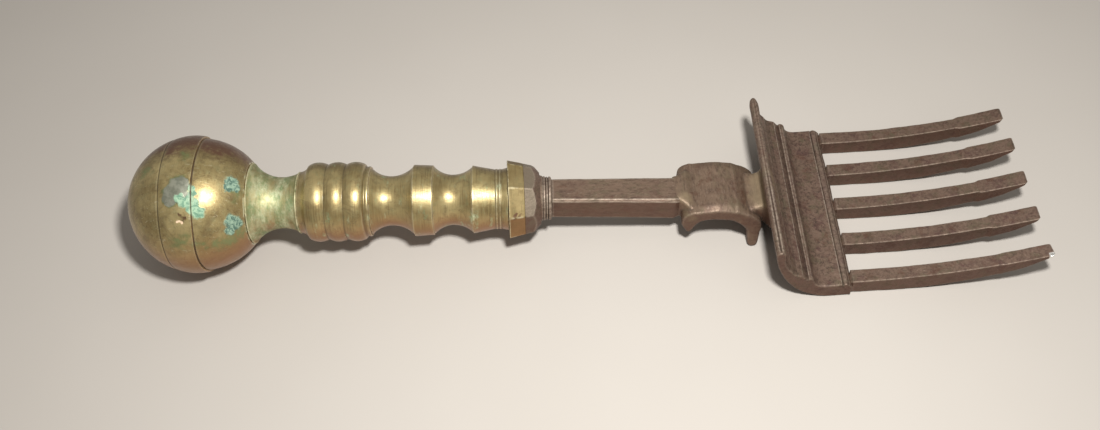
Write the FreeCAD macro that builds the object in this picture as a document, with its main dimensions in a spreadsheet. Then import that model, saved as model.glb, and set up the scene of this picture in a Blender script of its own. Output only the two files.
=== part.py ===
import FreeCAD, Part
import math
import os
import re

import Sketcher

# Five-tined hand fork: a stack of turned brass sections threaded on an iron tang, a hollow
# ball pommel, and a forged iron head carried on an arched saddle.
#
# Frame: millimetres, +X from the ball to the tine tips, +Y across the tines, +Z up.
# The fork lies as it rests: ball, saddle horn and head all touch the plane Z = 0.
# The origin is the centre of the base of its bounding box.

DIMENSIONS = {
    # Whole object
    "overall_length": 261.4,
    "handle_slope": 2.92,
    # Ball pommel, two brass half shells soldered together
    "ball_radius": 20.1,
    "ball_back": 19.2,
    "front_shell_radius": 19.75,
    "shell_inside_radius": 17.7,
    "seam_start": 3.4,
    "seam_end": 3.7,
    "seam_inset": 0.25,
    "scribe_station": -6.6,
    "scribe_depth": 0.35,
    "lip_outside_radius": 17.2,
    "lip_thickness": 0.9,
    "lip_start": 0.8,
    "lip_end": 6.0,
    "boss_start": 12.9,
    # Iron tang with its washer and square nut inside the ball
    "tang_radius": 3.2,
    "bore_radius": 3.25,
    "tang_end": 5.6,
    "washer_thickness": 1.3,
    "washer_radius": 7.5,
    "nut_length": 5.0,
    "nut_width": 10.0,
    # Neck spool behind the reeds
    "neck_start": 16.3,
    "neck_start_radius": 11.2,
    "neck_waist": 25.0,
    "neck_waist_radius": 7.5,
    "neck_end": 30.3,
    "neck_end_radius": 8.9,
    # Barrel with three reeds
    "flare_end": 33.0,
    "reed_valley_radius": 10.9,
    "reed_width": 5.4,
    "reed_arc_radius": 5.2,
    "flare_arc_radius": 3.4,
    "quirk_radius": 10.1,
    "barrel_end": 51.0,
    "barrel_end_radius": 9.75,
    # Rear grip spool
    "rear_waist": 56.7,
    "rear_waist_radius": 7.25,
    # Middle band
    "band_start": 63.4,
    "band_start_radius": 10.5,
    "band_end": 69.2,
    "band_end_radius": 10.2,
    "spool_end_radius": 10.2,
    # Front grip spool
    "front_waist": 74.8,
    "front_waist_radius": 7.4,
    "front_band_start": 80.5,
    "front_band_start_radius": 10.0,
    # Front band, a taper with two fine rings and a flare
    "taper_end": 87.2,
    "taper_end_radius": 8.7,
    "ring_width": 0.7,
    "ring_height": 0.25,
    "flare_radius": 9.3,
    # Octagonal ferrule and its iron bolster
    "ferrule_start": 90.6,
    "ferrule_start_apothem": 11.0,
    "bolster_start": 95.2,
    "bolster_start_apothem": 10.0,
    "chamfer_start": 98.1,
    "chamfer_start_apothem": 9.35,
    "bolster_end": 98.9,
    "bolster_end_apothem": 8.3,
    "ferrule_turn": -1.0,
    # Turned iron collar
    "collar_end": 103.0,
    "collar_start_radius": 6.5,
    "collar_groove_radius": 5.7,
    "collar_end_radius": 6.1,
    # Square shank
    "shank_side": 8.5,
    "shank_edge_chamfer": 0.9,
    "shank_end": 142.6,
    "shank_tenon_end": 147.4,
    "shank_tenon_side": 3.2,
    "shank_tenon_rise": 1.4,
    # Saddle: an arch with a short rear horn and a long front horn
    "saddle_station": 152.5,
    "saddle_width": 18.0,
    "crown_height": 16.8,
    "shoulder_height": 15.9,
    "arch_inside_height": 12.4,
    "rear_shoulder": -7.1,
    "front_shoulder": 4.1,
    "bead_width": 1.3,
    "bead_arc_radius": 0.7,
    "rear_horn_bottom": 6.8,
    "front_horn_width": 3.4,
    # Neck between saddle and head
    "neck_width": 11.0,
    "neck_underside": 7.2,
    "neck_top": 14.6,
    "neck_tongue_end": 17.6,
    # Moulded head plate, local X runs back from its front face
    "head_station": 188.4,
    "head_width": 58.0,
    "head_edge_chamfer": 0.4,
    "front_face_height": 3.9,
    "lip_height": 4.9,
    "bead_height": 5.2,
    "flat_height": 5.35,
    "ridge_height": 9.0,
    "crest_height": 22.8,
    "crest_arc_radius": 1.3,
    "belly_height": 6.5,
    "back_arc_radius": 32.0,
    "belly_arc_radius": 14.6,
    "cove_arc_radius": 9.4,
    "quirk_length": 52.8,
    "quirk_depth": 0.5,
    # Tines
    "tine_pitch": 12.75,
    "tine_length": 53.8,
    "tine_root_width": 4.4,
    "tine_waist_width": 3.8,
    "tine_tip_width": 4.7,
    "tine_bottom": 0.15,
    "tine_root_top": 5.25,
    "tine_shoulder": 41.3,
    "tine_bend_start": 10.0,
    "tine_chisel_start": 48.0,
    "tine_chisel_height": 8.3,
    "tine_edge_height": 12.4,
    "tine_tip_height": 13.8,
    "tine_under_arc_radius": 88.0,
    "tine_top_arc_radius": 172.0,
    "tine_tenon_length": 6.0,
    "tine_tenon_side": 2.6,
    "tine_tenon_bottom": 1.3,
}

# Each tine springs a little differently from its neighbours: rise of the tip, in millimetres,
# from the +Y side to the -Y side.
TINE_RISES = (-1.0, 0.0, 0.2, 0.2, 0.3)

doc = FreeCAD.newDocument("HandFork")
dims = doc.addObject("Spreadsheet::Sheet", "Dims")


def add_dimension(row, alias, value):
    dims.set(f"A{row}", alias)
    dims.set(f"B{row}", str(value))
    dims.setAlias(f"B{row}", alias)


for row, (alias, value) in enumerate(DIMENSIONS.items(), start=1):
    add_dimension(row, alias, value)
for number, rise in enumerate(TINE_RISES, start=1):
    add_dimension(len(DIMENSIONS) + number, f"tine_{number}_rise", rise)
doc.recompute()


def bound(formula):
    """Point the dimension names in a formula at the sheet's cells."""
    return re.sub(r"[a-z]+_[a-z0-9_]+", lambda name: "Dims." + name.group(), str(formula))


def number_of(formula):
    value = dims.evalExpression(bound(formula))
    return float(getattr(value, "Value", value))


def draw_outline(sketch, corners):
    """Add one closed outline to a sketch.

    A corner is (x, y), or (x, y, radius) where an arc of that radius runs to the next corner:
    it bulges to the left of the way the outline runs, or to the right if marked "-".
    """
    first = sketch.GeometryCount
    points = [FreeCAD.Vector(number_of(corner[0]), number_of(corner[1]), 0) for corner in corners]
    ends = []
    for index, corner in enumerate(corners):
        start = points[index]
        finish = points[(index + 1) % len(points)]
        if len(corner) == 2:
            sketch.addGeometry(Part.LineSegment(start, finish))
            ends.append((1, 2))
            continue
        radius = number_of(corner[2].lstrip("-"))
        side = -1 if corner[2].startswith("-") else 1
        chord = finish - start
        across = FreeCAD.Vector(-chord.y, chord.x, 0).normalize() * side
        half = chord.Length / 2
        centre = (start + finish) / 2 - across * math.sqrt(radius**2 - half**2)
        circle = Part.Circle(centre, FreeCAD.Vector(0, 0, 1), radius)
        angles = [math.atan2(p.y - centre.y, p.x - centre.x) for p in (start, finish)]
        if side > 0:
            angles.reverse()
        sketch.addGeometry(Part.ArcOfCircle(circle, *angles))
        ends.append((2, 1) if side > 0 else (1, 2))
    count = len(corners)
    for index, corner in enumerate(corners):
        edge = first + index
        following = first + (index + 1) % count
        start_end = ends[index][0]
        finish_end = ends[index][1]
        next_start = ends[(index + 1) % count][0]
        sketch.addConstraint(Sketcher.Constraint("Coincident", edge, finish_end, following, next_start))
        for kind, formula in (("DistanceX", corner[0]), ("DistanceY", corner[1])):
            value = number_of(formula)
            made = sketch.addConstraint(Sketcher.Constraint(kind, -1, 1, edge, start_end, value))
            sketch.setExpression(f"Constraints[{made}]", bound(formula))
        if len(corner) == 3:
            formula = corner[2].lstrip("-")
            made = sketch.addConstraint(Sketcher.Constraint("Radius", edge, number_of(formula)))
            sketch.setExpression(f"Constraints[{made}]", bound(formula))


def add_sketch(body, name, role, corners, offset="0"):
    """Sketch on one of the body's own origin planes, moved along its normal by offset."""
    sketch = body.newObject("Sketcher::SketchObject", name)
    plane = next(feature for feature in body.Origin.OriginFeatures if feature.Role == role)
    sketch.AttachmentSupport = [(plane, "")]
    sketch.MapMode = "FlatFace"
    sketch.setExpression("AttachmentOffset.Base.z", bound(offset))
    draw_outline(sketch, corners)
    return sketch


def add_pad(body, name, role, corners, length, offset="0"):
    """Pad half of the length to each side of the sketch."""
    pad = body.newObject("PartDesign::Pad", name)
    pad.Profile = add_sketch(body, name + "Outline", role, corners, offset)
    pad.SideType = "Symmetric"
    pad.setExpression("Length", bound(length))
    return pad


def add_turning(body, kind, name, corners):
    """Turn an outline of (station along the axis, radius) corners about the handle axis."""
    turning = body.newObject("PartDesign::" + kind, name)
    turning.Profile = add_sketch(body, name + "Outline", "XZ_Plane", corners)
    turning.ReferenceAxis = (turning.Profile[0], ["H_Axis"])
    turning.Angle = 360
    return turning


def rectangle(x_low, x_high, y_low, y_high):
    return [(x_low, y_low), (x_high, y_low), (x_high, y_high), (x_low, y_high)]


def place_on_handle(body, turn="0"):
    """Local X is the handle axis, from the ball's centre, sloping down towards the head."""
    body.setExpression("Placement.Base.x", bound("ball_back - overall_length / 2"))
    body.setExpression("Placement.Base.z", bound("ball_radius"))
    slope = FreeCAD.Rotation(FreeCAD.Vector(0, 1, 0), number_of("handle_slope"))
    roll = FreeCAD.Rotation(FreeCAD.Vector(1, 0, 0), number_of(turn))
    body.Placement = FreeCAD.Placement(FreeCAD.Vector(), slope * roll)


def place_on_table(body, station, y="0"):
    """Local X = 0 is at a station counted from the ball's centre, local Z = 0 is the table."""
    x = "ball_back - overall_length / 2 + " + station
    body.setExpression("Placement.Base.x", bound(x))
    body.setExpression("Placement.Base.y", bound(y))


parts = []


def new_body(label):
    body = doc.addObject("PartDesign::Body", label)
    body.Label = label
    return body


def turned_part(label, corners):
    """A brass or iron section turned about the handle axis."""
    body = new_body(label)
    add_turning(body, "Revolution", "Turning", corners)
    place_on_handle(body)
    parts.append(body)
    return body


def waist_arc(start, start_radius, waist, waist_radius):
    """Radius of the cove that is level at the waist and reaches the start."""
    drop = f"({start_radius} - {waist_radius})"
    run = f"({waist} - {start})"
    return f"({run} ^ 2 + {drop} ^ 2) / (2 * {drop})"


def spool(label, start, start_radius, waist, waist_radius, end, end_radius):
    """A grip section with a hollow curved waist."""
    rear_arc = "-" + waist_arc(start, start_radius, waist, waist_radius)
    front_arc = "-" + waist_arc(waist, end_radius, end, waist_radius)
    corners = [
        (start, "bore_radius"),
        (start, start_radius, rear_arc),
        (waist, waist_radius, front_arc),
        (end, end_radius),
        (end, "bore_radius"),
    ]
    return turned_part(label, corners)


# Ball pommel -----------------------------------------------------------------------------

# Behind its scribed line the ball is a little flatter, a sphere that is centred further forward.
scribe_rear = "(scribe_station - scribe_depth)"
back_radius = (f"ball_back + (ball_radius ^ 2 - ball_back ^ 2) / (2 * (ball_back + {scribe_rear}))")
turned_part("pommel_rear_shell", [
    ("-ball_back", "0", back_radius),
    (scribe_rear, f"sqrt(ball_radius ^ 2 - {scribe_rear} ^ 2)"),
    ("scribe_station", "sqrt(ball_radius ^ 2 - scribe_station ^ 2) - scribe_depth"),
    ("scribe_station + scribe_depth",
     "sqrt(ball_radius ^ 2 - (scribe_station + scribe_depth) ^ 2)", "ball_radius"),
    ("seam_start", "sqrt(ball_radius ^ 2 - seam_start ^ 2)"),
    ("seam_start", "sqrt(shell_inside_radius ^ 2 - seam_start ^ 2)", "-shell_inside_radius"),
    ("-shell_inside_radius", "0"),
])

turned_part("pommel_front_shell", [
    ("seam_end", "sqrt(front_shell_radius ^ 2 - seam_end ^ 2)", "front_shell_radius"),
    ("neck_start", "sqrt(front_shell_radius ^ 2 - neck_start ^ 2)"),
    ("neck_start", "bore_radius"),
    ("boss_start", "bore_radius"),
    ("boss_start", "sqrt(shell_inside_radius ^ 2 - boss_start ^ 2)", "-shell_inside_radius"),
    ("lip_end", "sqrt(shell_inside_radius ^ 2 - lip_end ^ 2)"),
    ("lip_end", "lip_outside_radius - lip_thickness"),
    ("lip_start", "lip_outside_radius - lip_thickness"),
    ("lip_start", "lip_outside_radius"),
    ("seam_end", "lip_outside_radius"),
])

turned_part("pommel_seam_solder", rectangle(
    "seam_start", "seam_end", "lip_outside_radius", "front_shell_radius - seam_inset - 0.35"))

# Fastening inside the ball: the tang passes the boss and takes a washer and a nut --------

turned_part("tang_washer", rectangle(
    "boss_start - washer_thickness", "boss_start", "bore_radius", "washer_radius"))

nut = new_body("tang_nut")
add_pad(nut, "Block", "YZ_Plane",
        rectangle("-nut_width / 2", "nut_width / 2", "-nut_width / 2", "nut_width / 2"),
        "nut_length", "boss_start - washer_thickness - nut_length / 2")
add_turning(nut, "Groove", "Bore", rectangle("0", "boss_start", "0", "bore_radius"))
place_on_handle(nut)
parts.append(nut)

# Turned brass grip sections --------------------------------------------------------------

spool("neck_spool", "neck_start", "neck_start_radius", "neck_waist", "neck_waist_radius",
      "neck_end", "neck_end_radius")

reed_starts = [f"flare_end + {index} * reed_width" for index in range(4)]
turned_part("reeded_barrel", [
    ("neck_end", "bore_radius"),
    ("neck_end", "neck_end_radius", "-flare_arc_radius"),
    (reed_starts[0], "reed_valley_radius", "reed_arc_radius"),
    (reed_starts[1], "reed_valley_radius", "reed_arc_radius"),
    (reed_starts[2], "reed_valley_radius", "reed_arc_radius"),
    (reed_starts[3], "reed_valley_radius"),
    (reed_starts[3] + " + 0.5", "quirk_radius"),
    ("barrel_end", "barrel_end_radius"),
    ("barrel_end", "bore_radius"),
])

spool("rear_grip_spool", "barrel_end", "barrel_end_radius", "rear_waist", "rear_waist_radius",
      "band_start", "spool_end_radius")

turned_part("middle_band", [
    ("band_start", "bore_radius"),
    ("band_start", "band_start_radius"),
    ("band_end", "band_end_radius"),
    ("band_end", "bore_radius"),
])

spool("front_grip_spool", "band_end", "band_end_radius - 0.2", "front_waist",
      "front_waist_radius", "front_band_start", "front_band_start_radius - 0.3")


def fine_ring(index):
    """Corners of one fine ring that stands out of the front band."""
    start = f"taper_end + {index} * 1.4 * ring_width"
    return [
        (start, "taper_end_radius"),
        (start + " + ring_width / 2", "taper_end_radius + ring_height"),
        (start + " + ring_width", "taper_end_radius"),
    ]


turned_part("front_band", [
    ("front_band_start", "bore_radius"),
    ("front_band_start", "front_band_start_radius"),
    *fine_ring(0),
    *fine_ring(1),
    ("ferrule_start", "flare_radius"),
    ("ferrule_start", "bore_radius"),
])

# Octagonal ferrule and bolster -----------------------------------------------------------


def octagon(apothem):
    """Regular octagon with a flat on each side, by the distance from axis to flat."""
    half_side = f"{apothem} * tan(22.5 deg)"
    quarter = [(apothem, half_side), (half_side, apothem)]
    corners = []
    for x_sign, y_sign in ((1, 1), (-1, 1), (-1, -1), (1, -1)):
        signed = [(f"{x_sign} * {x}", f"{y_sign} * {y}") for x, y in quarter]
        corners += signed if x_sign * y_sign > 0 else signed[::-1]
    return corners


def octagonal_part(label, sections):
    """Loft octagons of (station, apothem) and bore the result for the tang."""
    body = new_body(label)
    sketches = [
        add_sketch(body, f"Section{index}", "YZ_Plane", octagon(apothem), station)
        for index, (station, apothem) in enumerate(sections)
    ]
    doc.recompute()
    loft = body.newObject("PartDesign::AdditiveLoft", "Taper")
    loft.Profile = sketches[0]
    loft.Sections = sketches[1:]
    loft.Ruled = True
    add_turning(body, "Groove", "Bore",
                rectangle(sections[0][0], sections[-1][0], "0", "bore_radius"))
    place_on_handle(body, "ferrule_turn")
    parts.append(body)


octagonal_part("octagonal_ferrule", [
    ("ferrule_start", "ferrule_start_apothem"),
    ("bolster_start", "bolster_start_apothem"),
])
octagonal_part("ferrule_bolster", [
    ("bolster_start", "bolster_start_apothem"),
    ("chamfer_start", "chamfer_start_apothem"),
    ("bolster_end", "bolster_end_apothem"),
])

# Iron collar and shank -------------------------------------------------------------------

turned_part("shank_collar", [
    ("bolster_end", "bore_radius"),
    ("bolster_end", "collar_start_radius"),
    ("bolster_end + 1.2", "collar_start_radius"),
    ("bolster_end + 1.6", "collar_groove_radius"),
    ("collar_end - 1.3", "collar_groove_radius"),
    ("collar_end - 0.9", "collar_end_radius"),
    ("collar_end", "collar_end_radius"),
    ("collar_end", "bore_radius"),
])

shank = new_body("shank")
add_turning(shank, "Revolution", "Tang",
            rectangle("tang_end", "collar_end + 2", "0", "tang_radius"))
half_side = "shank_side / 2"
edge = "(shank_side / 2 - shank_edge_chamfer)"
bar_section = [
    (edge, half_side), (f"-{edge}", half_side), (f"-{half_side}", edge),
    (f"-{half_side}", f"-{edge}"), (f"-{edge}", f"-{half_side}"),
    (edge, f"-{half_side}"), (half_side, f"-{edge}"), (half_side, edge),
]
add_pad(shank, "Bar", "YZ_Plane", bar_section, "shank_end - collar_end",
        "(shank_end + collar_end) / 2")
add_pad(shank, "Tenon", "YZ_Plane",
        rectangle("-shank_tenon_side / 2", "shank_tenon_side / 2",
                  "shank_tenon_rise - shank_tenon_side / 2",
                  "shank_tenon_rise + shank_tenon_side / 2"),
        "shank_tenon_end - shank_end + 1", "(shank_end + shank_tenon_end) / 2 - 0.5")
place_on_handle(shank)
parts.append(shank)

# Saddle ----------------------------------------------------------------------------------

saddle_blank = new_body("saddle_blank")
add_pad(saddle_blank, "Arch", "XZ_Plane", [
    ("-8.9", "rear_horn_bottom", "1.2"),
    ("-10.1", "rear_horn_bottom + 0.6"),
    ("-11.3", "rear_horn_bottom + 3.4"),
    ("-11.2", "shoulder_height - 3.2", "6"),
    ("rear_shoulder - bead_width", "shoulder_height - 0.2", "bead_arc_radius"),
    ("rear_shoulder", "shoulder_height", "16"),
    ("front_shoulder", "shoulder_height", "bead_arc_radius"),
    ("front_shoulder + bead_width", "shoulder_height - 0.3", "16"),
    ("10.5", "11.4", "6"),
    ("11.9", "5.5", "20"),
    ("11.4", "1.1", "1.6"),
    ("9.4", "0.15", "1.6"),
    ("11.9 - front_horn_width", "1.8"),
    ("11.9 - front_horn_width - 0.4", "6.2", "-11.5"),
    ("-1.2", "arch_inside_height", "-5.7"),
    ("-8.1", "8.0"),
], "saddle_width")
add_pad(saddle_blank, "Neck", "XZ_Plane", [
    ("8.0", "neck_underside"),
    ("8.0", "neck_top - 0.6"),
    ("neck_tongue_end - 4.5", "neck_top"),
    ("neck_tongue_end - 1.6", "neck_top - 3.8"),
    ("neck_tongue_end", "neck_underside"),
], "neck_width")
place_on_table(saddle_blank, "saddle_station")

saddle = doc.addObject("Part::Cut", "saddle")
saddle.Label = "saddle"
saddle.Base = saddle_blank
saddle.Tool = shank
parts.append(saddle)

# Tines -----------------------------------------------------------------------------------


def tine(number):
    """Square bar that curves up to a chisel tip, wider past a shoulder near its end."""
    rise = f"tine_{number}_rise"
    body = new_body(f"tine_{number}")
    add_pad(body, "Side", "XZ_Plane", [
        ("0", "tine_bottom"),
        ("0", "tine_root_top", "-tine_top_arc_radius"),
        ("tine_length", f"tine_tip_height + {rise}"),
        ("tine_length - 0.3", f"tine_edge_height + {rise}"),
        ("tine_chisel_start", f"tine_chisel_height + 0.8 * {rise}", "tine_under_arc_radius"),
        ("tine_bend_start", "tine_bottom"),
    ], "tine_tip_width")
    for side in (1, -1):
        corners = [
            ("0", f"{side} * tine_root_width / 2"),
            ("tine_shoulder - 0.5", f"{side} * tine_waist_width / 2"),
            ("tine_shoulder", f"{side} * tine_tip_width / 2"),
            ("tine_shoulder", f"{side} * (tine_tip_width / 2 + 1)"),
            ("0", f"{side} * (tine_tip_width / 2 + 1)"),
        ]
        cheek = body.newObject("PartDesign::Pocket", "CheekPlus" if side > 0 else "CheekMinus")
        cheek.Profile = add_sketch(body, cheek.Name + "Outline", "XY_Plane", corners)
        cheek.SideType = "Symmetric"
        cheek.Length = 60
    add_pad(body, "Tenon", "YZ_Plane",
            rectangle("-tine_tenon_side / 2", "tine_tenon_side / 2",
                      "tine_tenon_bottom", "tine_tenon_bottom + tine_tenon_side"),
            "tine_tenon_length + 1", "0.5 - tine_tenon_length / 2")
    place_on_table(body, "head_station", f"{(len(TINE_RISES) + 1) // 2 - number} * tine_pitch")
    return body


tines = [tine(number) for number in range(1, len(TINE_RISES) + 1)]

# Head plate ------------------------------------------------------------------------------

head_blank = new_body("head_blank")
add_pad(head_blank, "Moulding", "XZ_Plane", [
    ("0", "head_edge_chamfer"),
    ("0", "front_face_height"),
    ("-0.9", "lip_height"),
    ("-1.3", "bead_height", "-1.15"),
    ("-3.3", "bead_height", "40"),
    ("-8.0", "flat_height", "4.8"),
    ("-12.0", "ridge_height - 0.7"),
    ("-12.6", "ridge_height"),
    ("-15.1", "ridge_height + 2.0"),
    ("-16.7", "ridge_height + 2.9", "cove_arc_radius"),
    ("-20.4", "crest_height - 5.2"),
    ("-21.0", "crest_height - 4.3"),
    ("-21.2", "crest_height - crest_arc_radius", "-(crest_arc_radius + 0.001)"),
    ("-21.2 - 2 * crest_arc_radius", "crest_height - crest_arc_radius", "-back_arc_radius"),
    ("-17.9", "belly_height", "-belly_arc_radius"),
    ("-6.0", "0"),
    ("-head_edge_chamfer", "0"),
], "head_width")
quirk = head_blank.newObject("PartDesign::Pocket", "Quirk")
quirk.Profile = add_sketch(head_blank, "QuirkOutline", "XZ_Plane", [
    ("-19.6", "crest_height - 6.3"),
    ("-20.0 - quirk_depth", "crest_height - 6.0 - quirk_depth"),
    ("-20.1", "crest_height - 5.5"),
    ("-19.0", "crest_height - 5.5"),
])
quirk.SideType = "Symmetric"
quirk.setExpression("Length", bound("quirk_length"))
place_on_table(head_blank, "head_station")

joinery = doc.addObject("Part::MultiFuse", "joinery")
joinery.Shapes = [saddle] + tines
head = doc.addObject("Part::Cut", "head_plate")
head.Label = "head_plate"
head.Base = head_blank
head.Tool = joinery
parts.append(head)
parts += tines

# Build, check and write ------------------------------------------------------------------

doc.recompute()
for item in doc.Objects:
    if "Invalid" in item.State or "Error" in item.State:
        raise RuntimeError(f"{item.Label} did not build: {item.State}")
for part in parts:
    if part.Shape.isNull() or not part.Shape.isValid() or len(part.Shape.Solids) != 1:
        raise RuntimeError(f"{part.Label} is not one valid solid")

os.makedirs("parts", exist_ok=True)
for part in parts:
    part.Shape.exportStep(f"parts/{part.Label}.step")
    print(part.Label, round(part.Shape.Volume), "mm3")
whole = Part.makeCompound([part.Shape for part in parts]).BoundBox
print("box", whole.XMin, whole.XMax, whole.YMin, whole.YMax, whole.ZMin, whole.ZMax)
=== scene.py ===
"""Looks of the hand fork: worn turned brass and forged iron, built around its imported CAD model.

Shapes are written in millimetres in two local frames and placed from the CAD model's own boxes:
the handle frame runs along the turned handle's axis from the ball's centre, and the table frame
stands on the table with X towards the tips. Blender's objects are in metres.
"""

import math

import bmesh
import bpy
import numpy as np
from mathutils import Matrix, Vector, noise as point_noise


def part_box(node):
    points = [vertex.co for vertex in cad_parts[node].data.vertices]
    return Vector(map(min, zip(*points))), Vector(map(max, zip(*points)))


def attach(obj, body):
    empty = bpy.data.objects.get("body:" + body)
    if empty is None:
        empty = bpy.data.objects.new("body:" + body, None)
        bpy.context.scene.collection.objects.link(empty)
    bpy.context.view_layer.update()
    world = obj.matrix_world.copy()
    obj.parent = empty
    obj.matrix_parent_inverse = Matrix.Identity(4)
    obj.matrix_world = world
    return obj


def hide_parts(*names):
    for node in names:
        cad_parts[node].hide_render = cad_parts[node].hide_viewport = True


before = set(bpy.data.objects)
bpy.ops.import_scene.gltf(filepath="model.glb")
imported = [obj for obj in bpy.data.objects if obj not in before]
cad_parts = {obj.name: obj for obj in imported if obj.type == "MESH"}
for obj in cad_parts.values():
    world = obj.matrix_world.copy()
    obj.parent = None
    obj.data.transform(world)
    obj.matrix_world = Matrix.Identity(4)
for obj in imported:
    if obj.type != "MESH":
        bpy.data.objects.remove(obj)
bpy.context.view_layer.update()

MM = 0.001

# Frames

BALL_RADIUS = 20.1
BALL_BACK = 19.2
HANDLE_SLOPE = math.radians(2.92)

rear_low, rear_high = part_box("pommel_rear_shell")
BALL_CENTRE = Vector((rear_low.x + BALL_BACK * MM, 0, (rear_low.z + rear_high.z) / 2))
ON_HANDLE = (
    Matrix.Translation(BALL_CENTRE)
    @ Matrix.Rotation(HANDLE_SLOPE, 4, "Y")
    @ Matrix.Scale(MM, 4)
)


def on_table(x, y=0.0):
    """Table frame with its origin at x, y, in metres."""
    return Matrix.Translation((x, y, 0)) @ Matrix.Scale(MM, 4)


def around_handle(station, angle, radius):
    """Point in the CAD frame at an angle in degrees from the handle's top towards +Y."""
    turn = math.radians(angle)
    return ON_HANDLE @ Vector((station, radius * math.sin(turn), radius * math.cos(turn)))


# Outlines

STEP = 0.04


def arc(start, end, radius):
    """Points from start, short of end, on an arc that bulges left of its way, right if negative."""
    chord = end - start
    length = np.hypot(*chord)
    left = np.array((-chord[1], chord[0])) / length
    drop = math.sqrt(max(radius**2 - length**2 / 4, 0))
    centre = (start + end) / 2 - math.copysign(drop, radius) * left
    turn = -math.copysign(2 * math.asin(min(length / 2 / abs(radius), 1)), radius)
    count = max(round(abs(radius * turn) / STEP), 2)
    first = math.atan2(start[1] - centre[1], start[0] - centre[0])
    angles = first + turn * np.arange(count) / count
    return centre + abs(radius) * np.stack([np.cos(angles), np.sin(angles)], 1)


def straight(start, end):
    """Points from start, short of end, on a straight line."""
    count = max(round(np.hypot(*(end - start)) / STEP), 1)
    return start + (end - start) * np.arange(count)[:, None] / count


def smoothed(loop, soft):
    """The loop with its corners rounded over a width of about soft."""
    reach = max(int(4 * soft / STEP), 1)
    bell = np.exp(-0.5 * (np.arange(-reach, reach + 1) * STEP / soft) ** 2)
    bell /= bell.sum()
    padded = np.concatenate([loop[-reach:], loop, loop[:reach]])
    return np.stack([np.convolve(padded[:, k], bell, "valid") for k in (0, 1)], 1)


def thinned(points, longest, turn, closed):
    """Fewer points: as far apart as longest where the line is straight, closer where it turns."""
    line = np.vstack([points, points[:1]]) if closed else points
    steps = np.diff(line, axis=0)
    heading = np.unwrap(np.arctan2(steps[:, 1], steps[:, 0]))
    cost = np.hypot(*steps.T) / longest + np.abs(np.gradient(heading)) / turn
    along = np.concatenate([[0], np.cumsum(cost)])
    marks = np.linspace(0, along[-1], int(along[-1]) + 2, endpoint=not closed)
    return np.stack([np.interp(marks, along, line[:, k]) for k in (0, 1)], 1)


def outline(corners, soft=0.12, longest=0.5, turn=0.22, to_axis=False):
    """Points round corners of (a, b) or (a, b, arc radius to the next corner).

    soft is how far the corners are rounded, longest the longest step in millimetres and turn the
    most that a step turns in radians. The outline is closed. One that goes to the axis starts and
    ends on b = 0 instead.
    """
    ring = [np.array(corner[:2], float) for corner in corners]
    stretches = []
    for index, corner in enumerate(corners[:-1] if to_axis else corners):
        start, end = ring[index], ring[(index + 1) % len(ring)]
        stretches.append(arc(start, end, corner[2]) if len(corner) == 3 else straight(start, end))
    points = np.concatenate(stretches)
    if not to_axis:
        return thinned(smoothed(points, soft), longest, turn, True)
    points = np.vstack([points, ring[-1]])
    whole = np.vstack([points, points[-2:0:-1] * (1, -1)])
    half = smoothed(whole, soft)[: len(points)]
    half[[0, -1], 1] = 0
    return thinned(half, longest, turn, False)


# Meshes


def ramp(value, start, end):
    """Goes evenly from 0 to 1 as value goes from start to end."""
    return np.clip((value - start) / (end - start), 0, 1)


def revolve(shape, count, share=1.0):
    """Rows of points round the handle axis, one row for each (station, radius) of the shape."""
    angles = np.arange(count) * 2 * math.pi / count
    radius = shape[:, 1:2] * np.broadcast_to(share, (count,))
    station = np.broadcast_to(shape[:, :1], radius.shape)
    return np.stack([station, radius * np.sin(angles), radius * np.cos(angles)], -1)


def skin(name, rows, closed=False, flat_ends=False, place=None):
    """A mesh over rows of points, each row a ring. Rows on the axis become a single point."""
    count, around = rows.shape[:2]
    index = np.arange(count * around).reshape(count, around)
    following = np.roll(index, -1, axis=1)
    ahead = np.roll(index, -1, axis=0)
    ahead_following = np.roll(following, -1, axis=0)
    last = count if closed else count - 1
    faces = np.stack([index, following, ahead_following, ahead], -1)[:last].reshape(-1, 4).tolist()
    if flat_ends:
        faces += [index[0, ::-1].tolist(), index[-1].tolist()]
    mesh = bpy.data.meshes.new(name)
    mesh.from_pydata(rows.reshape(-1, 3).tolist(), [], faces)
    shape = bmesh.new()
    shape.from_mesh(mesh)
    bmesh.ops.remove_doubles(shape, verts=shape.verts, dist=1e-4)
    bmesh.ops.recalc_face_normals(shape, faces=shape.faces)
    for face in shape.faces:
        face.smooth = len(face.verts) <= 4
    shape.to_mesh(mesh)
    shape.free()
    piece = bpy.data.objects.new(name, mesh)
    bpy.context.scene.collection.objects.link(piece)
    if place:
        mesh.transform(place)
    return piece


def points_of(mesh):
    values = np.empty(len(mesh.vertices) * 3)
    mesh.vertices.foreach_get("co", values)
    return values.reshape(-1, 3)


def normals_of(mesh):
    values = np.empty(len(mesh.vertices) * 3, np.float32)
    mesh.vertex_normals.foreach_get("vector", values)
    return values.reshape(-1, 3).astype(float)


def set_points(mesh, points):
    mesh.vertices.foreach_set("co", points.ravel())
    mesh.update()


def grain(points, size, seed, octaves=3):
    """Noise of about -1 to 1 at each point in metres, with features of a size in millimetres."""
    shift = Vector((seed * 7.31, seed * 3.17, seed * 5.93))
    scale = 1 / (size * MM)
    places = (Vector(point) * scale + shift for point in points)
    return np.array([point_noise.fractal(place, 1, 2, octaves) for place in places])


def roughen(piece, *layers):
    """Moves the surface in and out by layers of (feature size, depth, seed), in millimetres."""
    points = points_of(piece.data)
    push = sum(depth * MM * grain(points, size, seed) for size, depth, seed in layers)
    set_points(piece.data, points + push[:, None] * normals_of(piece.data))


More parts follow.
